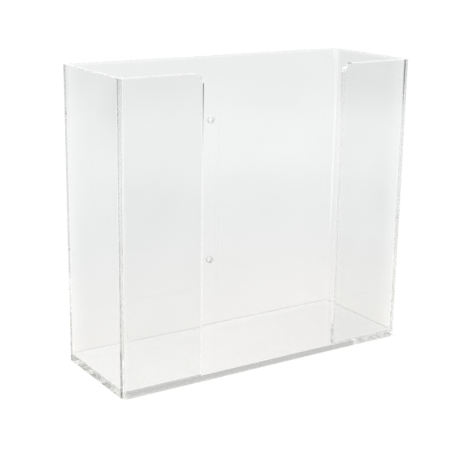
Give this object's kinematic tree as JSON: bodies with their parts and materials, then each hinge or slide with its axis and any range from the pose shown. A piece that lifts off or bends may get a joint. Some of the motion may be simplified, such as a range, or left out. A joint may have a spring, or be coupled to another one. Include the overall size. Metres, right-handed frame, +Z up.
{
  "type": "disposable glove dispenser",
  "caption": "Open-topped clear acrylic holder for boxes of disposable gloves: a heat-bent wrap with a full-height front slot, on a flat base, with wall screw holes.",
  "frame": {"origin": "centre of the underside of the base plate, on the surface the holder stands on", "axes": "+Z up, -Y towards the front with the dispensing slot, X along the width"},
  "size_m": [0.28, 0.102, 0.252],
  "materials": {
    "body_acrylic": "water-clear cast acrylic sheet, glossy faces, flame-polished edges",
    "base_acrylic": "water-clear cast acrylic sheet, glossy faces, polished edges, cemented joint along the top face"
  },
  "bodies": {
    "root": {"bent_body": "body_acrylic", "base_plate": "base_acrylic"}
  },
  "joints": []
}
